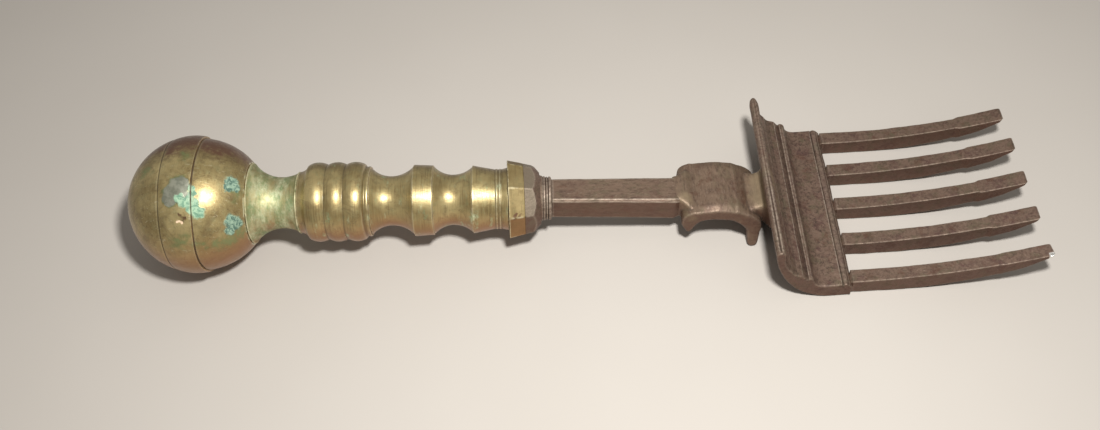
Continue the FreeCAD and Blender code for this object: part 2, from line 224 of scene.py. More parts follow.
def dent(piece, *dents):
    """Presses dents of (centre in metres, radius, depth) into the surface, in millimetres."""
    points = points_of(piece.data)
    normals = normals_of(piece.data)
    push = np.zeros(len(points))
    for centre, radius, depth in dents:
        near = np.linalg.norm(points - np.array(centre), axis=1) / (radius * MM)
        push += depth * MM * np.exp(-((1.6 * near) ** 2))
    set_points(piece.data, points - push[:, None] * normals)


def store(piece, name, values):
    """Keeps a value for each vertex in an attribute that the materials read."""
    kept = piece.data.attributes.get(name) or piece.data.attributes.new(name, "FLOAT", "POINT")
    kept.data.foreach_set("value", values.astype(np.float32))


LEAST_BEND = 0.12
BEND_RANGE = 0.7


def mark_edges(piece, width=0.35):
    """Stores how sharply the surface turns, from 0 to 1: outward in "edge", inward in "hollow"."""
    mesh = piece.data
    points, normals = points_of(mesh), normals_of(mesh)
    ends = np.empty(len(mesh.edges) * 2, np.int32)
    mesh.edges.foreach_get("vertices", ends)
    first, second = ends.reshape(-1, 2).T
    way = points[second] - points[first]
    bend = ((normals[second] - normals[first]) * way).sum(1) / (way**2).sum(1) * width * MM
    caps = [corner for face in mesh.polygons if len(face.vertices) > 4 for corner in face.vertices]
    for name, sign in (("edge", 1), ("hollow", -1)):
        most = np.zeros(len(points))
        np.maximum.at(most, first, sign * bend)
        np.maximum.at(most, second, sign * bend)
        most[caps] = 0
        store(piece, name, np.clip((most - LEAST_BEND) / BEND_RANGE, 0, 1))


def fade_wear(piece, share):
    """Multiplies "edge" at each vertex by its share, where a rim isn't worn bright."""
    values = np.empty(len(share), np.float32)
    piece.data.attributes["edge"].data.foreach_get("value", values)
    store(piece, "edge", values * share)


def hand_over(piece, material, slot, node):
    """The finished piece takes its material and stands for its CAD node."""
    piece.data.materials.append(material)
    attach(piece, "root")
    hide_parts(node)


# Materials


class Finish:
    """A material's node tree, with short names for the kinds of node that the finishes use.

    colour is the colour so far, and cover how far dirt and rust hide the metal.
    """

    def __init__(self, name):
        self.material = bpy.data.materials.new(name)
        self.material.use_nodes = True
        self.tree = self.material.node_tree
        self.shader = self.tree.nodes["Principled BSDF"]
        self.place = self.node("ShaderNodeTexCoord").outputs["Object"]
        self.colour = None
        self.cover = 0.0

    def node(self, kind, settings=(), **inputs):
        made = self.tree.nodes.new(kind)
        for name, value in dict(settings).items():
            setattr(made, name, value)
        self.fill(made, **inputs)
        return made

    def fill(self, made, **inputs):
        """Sets or links a node's inputs, by name with _ for a space or by number as in _0."""
        for name, value in inputs.items():
            number = name[1:]
            socket = made.inputs[int(number) if number.isdigit() else name.replace("_", " ")]
            if isinstance(value, bpy.types.NodeSocket):
                self.tree.links.new(value, socket)
            else:
                socket.default_value = value

    def math(self, operation, first, second=0.0, clamp=False):
        settings = {"operation": operation, "use_clamp": clamp}
        return self.node("ShaderNodeMath", settings, _0=first, _1=second).outputs[0]

    def times(self, first, second):
        return self.math("MULTIPLY", first, second)

    def plus(self, first, second):
        return self.math("ADD", first, second)

    def larger(self, first, second):
        return self.math("MAXIMUM", first, second)

    def vector(self, operation, first, second):
        made = self.node("ShaderNodeVectorMath", {"operation": operation}, _0=first, _1=second)
        return made.outputs["Value" if operation == "DISTANCE" else "Vector"]

    def noise(self, size, detail=3.0, roughness=0.55, place=None, distortion=0.0):
        """Noise from 0 to 1 with features of a size in millimetres."""
        return self.node(
            "ShaderNodeTexNoise", Vector=place or self.place, Scale=1 / (size * MM),
            Detail=detail, Roughness=roughness, Distortion=distortion,
        ).outputs["Fac"]

    def step(self, value, low, high, start=0.0, end=1.0):
        """Goes smoothly from start to end as value goes from low to high."""
        return self.node(
            "ShaderNodeMapRange", {"interpolation_type": "SMOOTHSTEP"},
            Value=value, From_Min=low, From_Max=high, To_Min=start, To_Max=end,
        ).outputs["Result"]

    def mix(self, share, first, second):
        settings = {"data_type": "RGBA"}
        return self.node("ShaderNodeMix", settings, _0=share, _6=first, _7=second).outputs[2]

    def blend(self, share, first, second):
        settings = {"data_type": "FLOAT"}
        return self.node("ShaderNodeMix", settings, _0=share, _2=first, _3=second).outputs[0]

    def lay(self, share, tone, cover=0.0):
        """Lays a tone over the colour so far, which hides the metal by cover where it is full."""
        self.colour = self.mix(share, self.colour, tone)
        if cover:
            self.cover = self.larger(self.cover, self.times(share, cover))

    def attribute(self, name):
        return self.node("ShaderNodeAttribute", {"attribute_name": name}).outputs["Fac"]

    def stretched(self, place, x, y, z):
        return self.vector("MULTIPLY", place, (x, y, z))

    def facing(self, axis, start, end, most=1.0):
        """From 0 to most as the surface's normal along an axis of the object goes to end."""
        normal = self.node("ShaderNodeTexCoord").outputs["Normal"]
        lean = self.node("ShaderNodeSeparateXYZ", Vector=normal).outputs[axis]
        return self.step(lean, start, end, 0, most)

    def handle_place(self):
        """Position along and across the handle's own axis."""
        moved = self.vector("SUBTRACT", self.place, BALL_CENTRE[:])
        return self.node(
            "ShaderNodeVectorRotate", {"rotation_type": "Y_AXIS"}, Vector=moved, Angle=-HANDLE_SLOPE
        ).outputs[0]

    def nearest(self, spots, size, reach):
        """Distance to the nearest spot of (centre in metres, radius), as a share of its radius.

        Noise of a size and reach in millimetres makes the borders of the spots ragged.
        """
        wobble = self.node(
            "ShaderNodeTexNoise", Vector=self.place, Scale=1 / (size * MM), Detail=4.0
        ).outputs["Color"]
        centred = self.vector("SUBTRACT", wobble, (0.5, 0.5, 0.5))
        pushed = self.stretched(centred, *(2 * reach * MM,) * 3)
        place = self.vector("ADD", self.place, pushed)
        found = None
        for centre, radius in spots:
            share = self.math("DIVIDE", self.vector("DISTANCE", place, tuple(centre)), radius * MM)
            found = share if found is None else self.math("MINIMUM", found, share)
        return found

    def bump(self, height, distance, strength=1.0, **under):
        """Normal of a relief of a distance in millimetres, over another one if it gets a Normal."""
        return self.node(
            "ShaderNodeBump", Height=height, Distance=distance * MM, Strength=strength, **under
        ).outputs["Normal"]

    def wear(self, roughness, metallic, normal, **fixed):
        """Puts what the surface shows on the shader."""
        self.fill(
            self.shader, Base_Color=self.colour, Roughness=roughness, Metallic=metallic,
            Normal=normal, **fixed,
        )
        return self.material


BRASS_LIGHT = (0.49, 0.385, 0.175, 1)
BRASS_DARK = (0.31, 0.230, 0.095, 1)
BRASS_BARE = (0.80, 0.72, 0.48, 1)
# Pale peach of a chip of bare metal, with its glint painted on.
BRASS_CHIP_PAINTED_GLINT = (0.90, 0.66, 0.44, 1)
BRASS_OLIVE = (0.30, 0.285, 0.140, 1)
BRASS_DIRT = (0.125, 0.082, 0.034, 1)
# Reddish brown: partly a real tarnished colour, partly a painted reflection on faces that turn
# downward.
BRASS_RED_TARNISH_AND_REFLECTION = (0.285, 0.125, 0.048, 1)
# Dark brown: tarnished metal, and painted shade in the spots above the ball's chip.
TARNISH_AND_SHADE_BROWN = (0.088, 0.034, 0.016, 1)
GRIME = (0.050, 0.038, 0.022, 1)
FILM_PALE = (0.55, 0.58, 0.36, 1)
FILM_DARK = (0.21, 0.31, 0.15, 1)
MINT_WHITE = (0.56, 0.58, 0.40, 1)
VERDIGRIS_PALE = (0.34, 0.50, 0.33, 1)
VERDIGRIS_DARK = (0.12, 0.26, 0.17, 1)
GREEN_TINT = (0.17, 0.21, 0.080, 1)
TEAL_PALE = (0.27, 0.38, 0.27, 1)
TEAL_DARK = (0.035, 0.100, 0.078, 1)
SOLDER_LIGHT = (0.33, 0.34, 0.27, 1)
SOLDER_DARK = (0.20, 0.215, 0.17, 1)
SEAM_BROWN = (0.085, 0.058, 0.032, 1)


def aged_brass(
    name, green=0.0, worn=0.3, dull=0.0, dark=0.0, turned=1.0, coat=0.3, grime=0.4, specked=0.0,
    brown_top=0.0, rings=(), solder=(), bloom=(), teal=(), tint=(), dark_brown_spots=(), glint=(),
):
    """Old turned brass: mottled satin metal with turning lines, grime and verdigris.

    green is how far a thin green film covers it, worn how bright its edges are, dull how much
    rougher and dark how much darker it is than usual, turned how clear its turning lines are,
    coat how strong its handled shine is, grime how dark its hollows are, specked how many dark
    specks and fine scratches it has, and brown_top how brown its far upper side is. rings are
    stations in metres along the handle where pale verdigris fills a joint. The rest are spots of
    (centre in metres, radius): soft solder, verdigris that is pale in bloom and darker in teal,
    a green tint, dark brown spots, which beside the ball's chip are painted shade of its dent,
    and a chip of bare metal whose glint is painted on in a pale colour.
    """
    finish = Finish(name)
    mix, lay, step, times, plus = finish.mix, finish.lay, finish.step, finish.times, finish.plus
    noise, blend, nearest = finish.noise, finish.blend, finish.nearest
    along = finish.handle_place()
    parts = finish.node("ShaderNodeSeparateXYZ", Vector=along).outputs
    broad = noise(9, 4)
    mottle = noise(1.8, 5, 0.65)
    speckle = noise(0.42, 3, 0.7)
    turning = noise(0.35, 2, 0.7, finish.stretched(along, 1, 0.05, 0.05))
    scratches = noise(0.5, 2, 0.8, finish.stretched(along, 0.12, 1, 0.5), 0.6)
    finish.colour = mix(step(broad, 0.35, 0.65), BRASS_DARK, BRASS_LIGHT)
    finish.cover = step(broad, 0.45, 0.9, 0.28, 0.5)
    lay(step(mottle, 0.45, 0.75, 0, 0.6), BRASS_OLIVE)
    lay(step(turning, 0.5, 0.68, 0, 0.4 * turned), BRASS_LIGHT)
    lay(step(turning, 0.47, 0.32, 0, 0.4 * turned), BRASS_DIRT)
    lay(step(speckle, 0.60, 0.74, 0, 0.55), BRASS_DARK)
    dirt = step(noise(4.5, 6, 0.7, distortion=1.0), 0.50, 0.68, 0, 0.6)
    lay(times(dirt, step(speckle, 0.35, 0.6, 0.5, 1)), BRASS_DIRT, cover=1)
    lay(dark, BRASS_DIRT)
    if specked:
        specks = step(noise(1.0, 7, 0.8, distortion=0.8), 0.52, 0.60, 0, specked)
        lay(times(specks, step(broad, 0.40, 0.60, 1, 0.3)), BRASS_DIRT, cover=0.7)
        lay(step(scratches, 0.62, 0.70, 0, 0.6 * specked), BRASS_BARE)
    upper = finish.facing("Z", 0.05, 0.45)
    # Darker brown on faces that turn up and away towards +Y.
    far = times(finish.facing("Y", 0.1, 0.8), step(mottle, 0.3, 0.6, 0.5, 0.9))
    lay(times(far, upper), BRASS_DIRT)
    # Downward faces turn reddish: partly a real tarnished colour, partly a painted reflection of a
    # red-brown surface below.
    low = times(finish.facing("Z", 0.5, -0.25), step(broad, 0.25, 0.6, 0.6, 0.9))
    lay(low, BRASS_RED_TARNISH_AND_REFLECTION)
    roughness = step(mottle, 0.3, 0.8, 0.34 + dull, 0.50 + dull)
    height = plus(times(turning, 0.5 * turned), mottle)

    if brown_top:
        lean = plus(parts["Y"], times(mottle, 10 * MM))
        lean = plus(lean, times(broad, 16 * MM))
        brown = step(lean, 13 * MM, 21 * MM, 0, brown_top)
        brown = times(brown, step(mottle, 0.25, 0.5, 0.7, 1))
        lay(times(brown, upper), TARNISH_AND_SHADE_BROWN, cover=0.75)
    # Dark brown spots; on the ball they are painted shade above the dented chip.
    if dark_brown_spots:
        near = nearest(dark_brown_spots, 3, 3)
        brown = times(step(near, 1.1, 0.5), step(mottle, 0.2, 0.6, 0.4, 1))
        lay(brown, TARNISH_AND_SHADE_BROWN, cover=0.6)
    if tint:
        stain = step(nearest(tint, 3, 4), 1.5, 0.3, 0, 0.8)
        lay(times(stain, step(mottle, 0.25, 0.6, 0.3, 1)), GREEN_TINT, cover=0.6)
    if green:
        ringed = finish.stretched(along, 1, 0.45, 0.45)
        film = step(noise(3.0, 5, 0.7, ringed), 0.66 - green * 0.50, 0.72, 0, 0.9)
        shade = step(noise(2.2, 6, 0.75, ringed), 0.40, 0.60)
        tone = mix(shade, FILM_DARK, FILM_PALE)
        lay(times(film, step(speckle, 0.3, 0.55, 0.6, 1)), tone, cover=0.6)
    if solder:
        near = nearest(solder, 2.5, 1.0)
        patch = step(near, 1.06, 0.94)
        lumps = noise(2.2, 4, 0.6)
        tone = mix(step(lumps, 0.38, 0.62), SOLDER_DARK, SOLDER_LIGHT)
        lay(times(patch, 0.9), tone)
        rim = times(step(near, 1.22, 1.02), step(near, 0.80, 1.0))
        lay(times(rim, step(mottle, 0.35, 0.6, 0.05, 0.6)), GREEN_TINT)
        roughness = blend(patch, roughness, 0.36)
        finish.cover = blend(patch, finish.cover, 0.4)
        height = plus(height, times(patch, plus(lumps, 0.6)))
    crusts = ((teal, TEAL_PALE, TEAL_DARK), (bloom, VERDIGRIS_PALE, VERDIGRIS_DARK))
    for spots, pale, deep in crusts:
        if not spots:
            continue
        patch = step(nearest(spots, 1.6, 1.1), 1.2, 0.75)
        crust = noise(1.8, 7, 0.78, distortion=1.2)
        tone = mix(step(crust, 0.42, 0.58), deep, pale)
        lay(times(patch, step(crust, 0.25, 0.5, 0.75, 1)), tone)
        roughness = blend(patch, roughness, 0.8)
        finish.cover = finish.larger(finish.cover, patch)
        height = plus(height, times(patch, plus(crust, 0.6)))
    for station in rings:
        away = finish.math("ABSOLUTE", finish.math("SUBTRACT", parts["X"], station))
        broken = step(noise(3.0, 4, 0.6), 0.42, 0.52)
        line = times(step(away, 0.30 * MM, 0.10 * MM, 0, 0.6), broken)
        lay(line, MINT_WHITE, cover=1)
    # A chip of bare metal, its glint painted on as a pale colour that is mostly not metallic.
    if glint:
        chip = step(nearest(glint, 1.2, 0.5), 1.05, 0.85)
        lay(chip, BRASS_CHIP_PAINTED_GLINT)
        roughness = blend(chip, roughness, 0.3)
        finish.cover = blend(chip, finish.cover, 0.7)

    hollow = times(finish.attribute("hollow"), grime)
    lay(times(finish.attribute("edge"), step(mottle, 0.3, 0.6, 0, worn)), BRASS_BARE)
    lay(hollow, GRIME)
    roughness = blend(hollow, roughness, 0.7)
    metallic = finish.math("SUBTRACT", 1.0, finish.cover, clamp=True)
    fine = finish.bump(plus(speckle, scratches), 0.03, 0.4)
    normal = finish.bump(height, 0.08, 0.5, Normal=fine)
    return finish.wear(roughness, metallic, normal, Coat_Weight=coat, Coat_Roughness=0.24)


IRON_LIGHT = (0.175, 0.113, 0.080, 1)
IRON_DARK = (0.050, 0.029, 0.021, 1)
IRON_OLIVE = (0.118, 0.087, 0.053, 1)
IRON_MAROON = (0.100, 0.052, 0.040, 1)
IRON_RED_BROWN = (0.105, 0.046, 0.028, 1)
IRON_SPECK = (0.32, 0.25, 0.19, 1)
IRON_EDGE_WEAR_AND_HIGHLIGHT = (0.36, 0.29, 0.225, 1)
IRON_GRIME = (0.026, 0.018, 0.013, 1)
IRON_BARE = (0.88, 0.86, 0.80, 1)
IRON_KHAKI = (0.235, 0.165, 0.105, 1)
IRON_RUBBED = (0.30, 0.225, 0.135, 1)
BOLSTER_GREY = (0.200, 0.163, 0.113, 1)


def old_iron(name, grey=0.0, pale=0.0, dark=0.6, worn=0.4, stretch=(1, 1, 1), rubbed=()):
    """Forged iron with a brown patina, mottled and lighter along its edges from wear and partly
    from a painted highlight.

    grey is how far it is covered by grey, except on a face that slopes forward, pale how far it
    is worn to a lighter khaki, dark how deep its spots of scale are and worn how bright its edges
    are. stretch scales its pattern along x, y and z, where a smaller number draws it out. rubbed
    are spots of (centre in metres, radius) that are rubbed paler.
    """
    finish = Finish(name)
    mix, lay, step, times = finish.mix, finish.lay, finish.step, finish.times
    drawn = finish.stretched(finish.place, *stretch)
    broad = finish.noise(7, 4, 0.6)
    patch = finish.noise(2.4, 6, 0.72, drawn, 0.6)
    scale = finish.noise(0.8, 4, 0.7, drawn)
    pits = finish.noise(0.3, 3, 0.8, drawn)
    base = mix(step(broad, 0.42, 0.58), IRON_MAROON, IRON_OLIVE)
    finish.colour = mix(step(patch, 0.42, 0.62), IRON_LIGHT, base)
    lay(pale, IRON_KHAKI)
    lay(step(scale, 0.46, 0.70, 0, dark), IRON_DARK)
    lay(step(finish.noise(4.1, 5, 0.7), 0.52, 0.68, 0, 0.6), IRON_RED_BROWN)
    lay(step(pits, 0.59, 0.69, 0, 0.6), IRON_SPECK)
    if grey:
        lay(finish.facing("X", 0.6, 0.3, grey), BOLSTER_GREY)
    if rubbed:
        near = finish.nearest(rubbed, 4, 2.5)
        lay(step(near, 1.3, 0.5, 0, 0.7), IRON_RUBBED)
    # Redder on faces that turn sideways and down.
    lay(times(finish.facing("Z", 0.55, -0.05), step(patch, 0.3, 0.6, 0.9, 0.5)), IRON_RED_BROWN)
    bare = finish.attribute("bare")
    # Lighter edges: wear, and where worn is high, as on the bar, partly a painted highlight.
    lay(times(finish.attribute("edge"), step(scale, 0.35, 0.65, worn, 0.3 * worn)), IRON_EDGE_WEAR_AND_HIGHLIGHT)
    lay(times(finish.attribute("hollow"), 0.6), IRON_GRIME)
    lay(bare, IRON_BARE)
    roughness = finish.blend(bare, step(patch, 0.3, 0.7, 0.44, 0.62), 0.3)
    height = finish.plus(pits, times(scale, 1.4))
    return finish.wear(roughness, finish.larger(0.5, bare), finish.bump(height, 0.09, 0.65))


def old_solder():
    """Soft solder, covered by brown dirt away from the patch on the ball's side."""
    finish = Finish("old_solder")
    lumps = finish.noise(1.2, 4, 0.6)
    finish.colour = finish.mix(finish.step(lumps, 0.35, 0.65), SOLDER_DARK, SOLDER_LIGHT)
    near = finish.nearest(BALL_SPOTS["solder"], 2.5, 1.0)
    finish.lay(finish.step(near, 0.9, 1.2), SEAM_BROWN)
    roughness = finish.step(lumps, 0.3, 0.7, 0.5, 0.75)
    return finish.wear(roughness, 0.3, finish.bump(lumps, 0.1, 0.6))


# Handle

BORE = 3.3
ROUND = 288

SHELL_INSIDE = 17.7
FRONT_SHELL = 19.4
FRONT_CENTRE = 1.0
SEAM = 3.4
SEAM_END = 3.62
SCRIBE = -5.6
SCRIBE_HALF = 0.35
SCRIBE_DEPTH = 0.15
SCRIBE_DROP = 0.3
BAND_RADIUS = 15.5
NECK_START = 16.3
FRONT_WALL = 1.5


def on_sphere(station, radius):
    """Distance from the axis to a sphere of a radius, at a station from its centre."""
    return math.sqrt(radius**2 - station**2)


def ball_spots(*spots):
    """Spots of (station, angle, radius) on the ball, as centres in metres with their radii."""
    return [
        (around_handle(station, angle, on_sphere(station, BALL_RADIUS)), radius)
        for station, angle, radius in spots
    ]


BALL_SPOTS = {
    "solder": ball_spots((0.6, -22, 2.9), (-1.2, -28, 2.8), (-2.0, -33, 2.2), (0.8, -29, 2.6)),
    "bloom": ball_spots(
        (0.6, -32, 1.3), (1.8, -35, 1.5), (3.0, -36, 1.5), (3.9, -24, 1.1), (4.1, -28, 1.2),
        (3.7, -32, 1.2), (4.4, -40, 1.9), (5.6, -44, 1.9), (5.0, -36, 1.3),
    ),
    "teal": ball_spots(
        (13.6, -14, 2.3), (13.0, -19, 1.5), (14.6, -17, 1.6), (13.4, -56, 2.1),
        (14.4, -61, 2.0), (13.0, -66, 1.6),
    ),
    "tint": ball_spots(
        (11.5, -76, 3.0), (9.0, -78, 2.0), (15.0, -70, 2.2), (-0.6, -68, 2.2), (1.0, -63, 1.6),
        (4.8, -73, 1.8), (-10.7, -4, 2.0), (1.5, 6, 1.8), (14.5, -25, 2.0),
    ),
    # Painted shade above the dented chip.
    "dark_brown_spots": ball_spots((0.6, -46, 1.1), (1.8, -48, 0.8)),
    # Where the chip of bare metal is, with its glint painted on.
    "glint": ball_spots((0.0, -51, 0.45), (0.6, -50.5, 0.5), (1.2, -51.5, 0.4)),
}
BALL_DENTS = [(centre, 1.1, 0.35) for centre, _ in ball_spots((0.9, -50, 1.0))]


def seam_wander(angle):
    """How far the soldered seam strays along the axis, by the angle from the top in radians."""
    return 0.25 * np.cos(2 * angle + 0.5) + 0.12 * np.sin(5 * angle)


def stray_seam(rows, reach=9.0):
    """Moves the rows within reach of the seam so that it wanders."""
    angle = np.arctan2(rows[..., 1], rows[..., 2])
    fade = ramp(np.abs(rows[..., 0] - SEAM), reach, 0)
    rows[..., 0] += seam_wander(angle) * fade**2
    return rows


def make_ball():
    scribe_rear = SCRIBE - SCRIBE_HALF
    scribe_front = SCRIBE + SCRIBE_HALF
    rear_edge = on_sphere(scribe_rear, BALL_RADIUS) - SCRIBE_DROP
    run = BALL_BACK + scribe_rear
    back_radius = (run**2 + rear_edge**2) / (2 * run)
    rear = outline([
        (-BALL_BACK, 0, back_radius),
        (scribe_rear, rear_edge),
        (SCRIBE, on_sphere(SCRIBE, BALL_RADIUS) - SCRIBE_DROP - SCRIBE_DEPTH),
        (scribe_front, on_sphere(scribe_front, BALL_RADIUS) - SCRIBE_DROP, BAND_RADIUS),
        (SEAM, on_sphere(SEAM, BALL_RADIUS)),
        (SEAM, on_sphere(SEAM, SHELL_INSIDE), -SHELL_INSIDE),
        (-SHELL_INSIDE, 0),
    ], soft=0.1, longest=0.6, to_axis=True)
    inner_wall = NECK_START - FRONT_WALL
    front = outline([
        (SEAM_END, on_sphere(SEAM_END - FRONT_CENTRE, FRONT_SHELL), FRONT_SHELL),
        (NECK_START, on_sphere(NECK_START - FRONT_CENTRE, FRONT_SHELL)),
        (NECK_START, BORE),
        (inner_wall, BORE),
        (inner_wall, on_sphere(inner_wall, SHELL_INSIDE), -SHELL_INSIDE),
        (SEAM_END, on_sphere(SEAM_END, SHELL_INSIDE)),
    ], soft=0.1, longest=0.6)
    corners = [(SEAM, 17.4), (SEAM, 19.25), (SEAM_END, 19.1), (SEAM_END, 17.4)]
    solder = outline(corners, soft=0.05, longest=0.3)
    brass = aged_brass(
        "ball_brass", worn=0.2, turned=0.35, grime=0.8, specked=0.5, brown_top=0.95,
        rings=(NECK_START * MM,), **BALL_SPOTS,
    )
    for name, shape, closed, node, seed in (
        ("ball_rear", rear, False, "pommel_rear_shell", 1),
        ("ball_front", front, True, "pommel_front_shell", 2),
    ):
        piece = skin(name, stray_seam(revolve(shape, ROUND)), closed, place=ON_HANDLE)
        mark_edges(piece)
        roughen(piece, (14, 0.10, seed), (3, 0.02, seed + 1))
        dent(piece, *BALL_DENTS)
        hand_over(piece, brass, "brass", node)
    ring = skin("seam_solder", stray_seam(revolve(solder, ROUND)), True, place=ON_HANDLE)
    roughen(ring, (1.5, 0.06, 4))
    mark_edges(ring)
    hand_over(ring, old_solder(), "solder", "pommel_seam_solder")


def cove(start, start_radius, waist, waist_radius):
    """Radius of the hollow arc that is level at the waist and reaches the start."""
    drop = start_radius - waist_radius
    return ((waist - start) ** 2 + drop**2) / (2 * drop)


def bored(corners):
    """The corners of a turned piece, closed along its bore."""
    return [(corners[0][0], BORE), *corners, (corners[-1][0], BORE)]


def spool(start, start_radius, waist, waist_radius, end, end_radius):
    """Corners of a hollow curve on each side of a waist."""
    return [
        (start, start_radius, -cove(start, start_radius, waist, waist_radius)),
        (waist, waist_radius, -cove(end, end_radius, waist, waist_radius)),
        (end, end_radius),
    ]


FIRST_REED = 33.0
REED_WIDTH = 5.4
REED_ROOT = 10.9
REED_BULGE = 5.2
REEDS = [(FIRST_REED + REED_WIDTH * index, REED_ROOT, REED_BULGE) for index in range(3)]

RING_WIDTH = 0.7
RING_HEIGHT = 0.25
RING_ROOT = 8.7


def fine_ring(start):
    return [
        (start, RING_ROOT),
        (start + RING_WIDTH / 2, RING_ROOT + RING_HEIGHT),
        (start + RING_WIDTH, RING_ROOT),
    ]


NECK_RADIUS = 11.5
NECK_WAIST = (25.0, 7.5)
NECK_END = (29.7, 8.65)


def neck():
    """The neck's hollow curve between a bead against the ball and a bead before the reeds."""
    start = NECK_START + 0.7
    return [
        (NECK_START, NECK_RADIUS), (NECK_START + 0.35, NECK_RADIUS + 0.35),
        (start, NECK_RADIUS - 0.25, -cove(start, NECK_RADIUS - 0.25, *NECK_WAIST)),
        (*NECK_WAIST, -cove(*NECK_END, *NECK_WAIST)), NECK_END, (30.0, 9.1), (30.3, 8.8),
    ]


def make_grip():
    plain = aged_brass("grip_brass", green=0.2, dark=0.14)
    neck_film = aged_brass(
        "neck_brass", green=1.0, worn=0.6, dull=0.2, coat=0.05, rings=(NECK_START * MM,)
    )
    sections = (
        ("neck", "neck_spool", neck_film, neck()),
        ("reeds", "reeded_barrel", plain, [
            (30.3, 8.95, -3.4), *REEDS, (49.2, REED_ROOT), (49.6, 10.2), (50.0, 10.15, 0.9),
            (51.0, 10.1),
        ]),
        ("rear_grip", "rear_grip_spool", plain, spool(51.0, 9.75, 56.7, 7.25, 63.4, 10.1)),
        ("middle_ring", "middle_band", plain, [(63.4, 10.5), (69.2, 10.2)]),
        ("front_grip", "front_grip_spool", plain, spool(69.2, 9.9, 74.8, 7.4, 80.5, 9.7)),
        ("front_ring", "front_band", plain, [
            (80.5, 10.0), *fine_ring(87.2), *fine_ring(88.2), (91.0, 9.3),
        ]),
    )
    for seed, (name, node, material, corners) in enumerate(sections, start=5):
        shape = outline(bored(corners), soft=0.16, longest=0.4)
        piece = skin(name, revolve(shape, ROUND), True, place=ON_HANDLE)
        mark_edges(piece)
        roughen(piece, (9, 0.06, seed), (2, 0.012, seed + 1))
        hand_over(piece, material, "brass", node)


COLLAR_START = 99.9
OCTAGON_CRISPNESS = 200
OCTAGON_ROUND = 360
FERRULE_TURN = math.radians(1.0)


def octagon_share(count):
    """Radius of an octagon with slightly rounded corners, as a share of its apothem."""
    angles = np.arange(count) * 2 * math.pi / count - FERRULE_TURN
    faces = np.arange(8) * math.pi / 4
    leans = np.clip(np.cos(angles[:, None] - faces), 0, None)
    return (leans**OCTAGON_CRISPNESS).sum(1) ** (-1 / OCTAGON_CRISPNESS)


CONE_START = 97.6
CONE_RADIUS = 10.3
CONE_SLOPE = 1.15
FERRULE_SHIFT = 0.27
FERRULE_TILT = 0.03
FERRULE_END = 95.2


def coned(rows):
    """Cuts the octagon's front down to a turned cone, as on the face of a nut."""
    past = rows[..., 0] - CONE_START
    limit = CONE_RADIUS - CONE_SLOPE * np.clip(past, 0, None)
    share = np.where(past > 0, limit / np.hypot(rows[..., 1], rows[..., 2]), 1)
    rows[..., 1:] *= np.minimum(1, share)[..., None]
    return rows


def sat_askew(rows):
    """The octagon sits a little forward and a little out of square on the handle."""
    rows[..., 0] += FERRULE_SHIFT - FERRULE_TILT * rows[..., 1]
    return rows


JOINT_CLEAR = 0.25
JOINT_FADED = 0.65


def flush_joint(piece):
    """Clears the worn edge where the ferrule and the bolster are filed flush with each other."""
    points = points_of(piece.data)
    to_handle = np.array(ON_HANDLE.inverted())
    station = points @ to_handle[0, :3] + to_handle[0, 3] + FERRULE_TILT * points[:, 1] / MM
    away = np.abs(station - FERRULE_END - FERRULE_SHIFT)
    fade_wear(piece, ramp(away, JOINT_CLEAR, JOINT_FADED))


def make_ferrule():
    share = octagon_share(OCTAGON_ROUND)
    mark = [(around_handle(92.8, -62, 11), 1.2), (around_handle(94.6, -63, 11), 0.8)]
    brass = aged_brass("ferrule_brass", worn=0.7, dull=0.28, dark=0.5, coat=0.05, dark_brown_spots=mark)
    grey = old_iron("bolster_grey", grey=0.75, worn=0.8)
    for name, node, slot, material, corners in (
        ("ferrule", "octagonal_ferrule", "ferrule_brass", brass,
         [(90.6, 11.0), (FERRULE_END, 10.0)]),
        ("bolster", "ferrule_bolster", "bolster_iron", grey,
         [(FERRULE_END, 10.0), (COLLAR_START, 9.0)]),
    ):
        shape = outline(bored(corners), soft=0.1, longest=0.2)
        rows = sat_askew(coned(revolve(shape, OCTAGON_ROUND, share)))
        piece = skin(name, rows, True, place=ON_HANDLE)
        mark_edges(piece)
        flush_joint(piece)
        roughen(piece, (6, 0.07, 21), (1.2, 0.015, 22))
        hand_over(piece, material, slot, node)


# Shank

SHANK_START = 103.5
SHANK_END = 143.4
TANG_END = 5.6
TANG_RADIUS = 3.2
SHANK_HALF = 4.25
SHANK_CHAMFER = 0.65
SHANK_DRIFT = -0.8
SHANK_GROWTH = 0.08
SHANK_WAIST = 0.012
TUCK_START = 0.9
TUCK = 0.3
TANG_SPACING = 4
SHANK_SPACING = 0.4


def make_collar(iron):
    corners = [
        (COLLAR_START, 6.9), (100.9, 6.55), (101.05, 6.3), (101.2, 6.5), (101.6, 6.45),
        (101.75, 6.1), (101.9, 6.1), (102.05, 6.3), (102.3, 6.3), (102.45, 6.05),
        (102.6, 6.05), (102.75, 6.4), (103.2, 6.35), (SHANK_START, 6.0),
    ]
    shape = outline(bored(corners), soft=0.07, longest=0.35)
    piece = skin("collar", revolve(shape, 200), True, place=ON_HANDLE)
    mark_edges(piece, 0.25)
    roughen(piece, (4, 0.06, 31), (0.8, 0.015, 32))
    hand_over(piece, iron, "iron", "shank_collar")


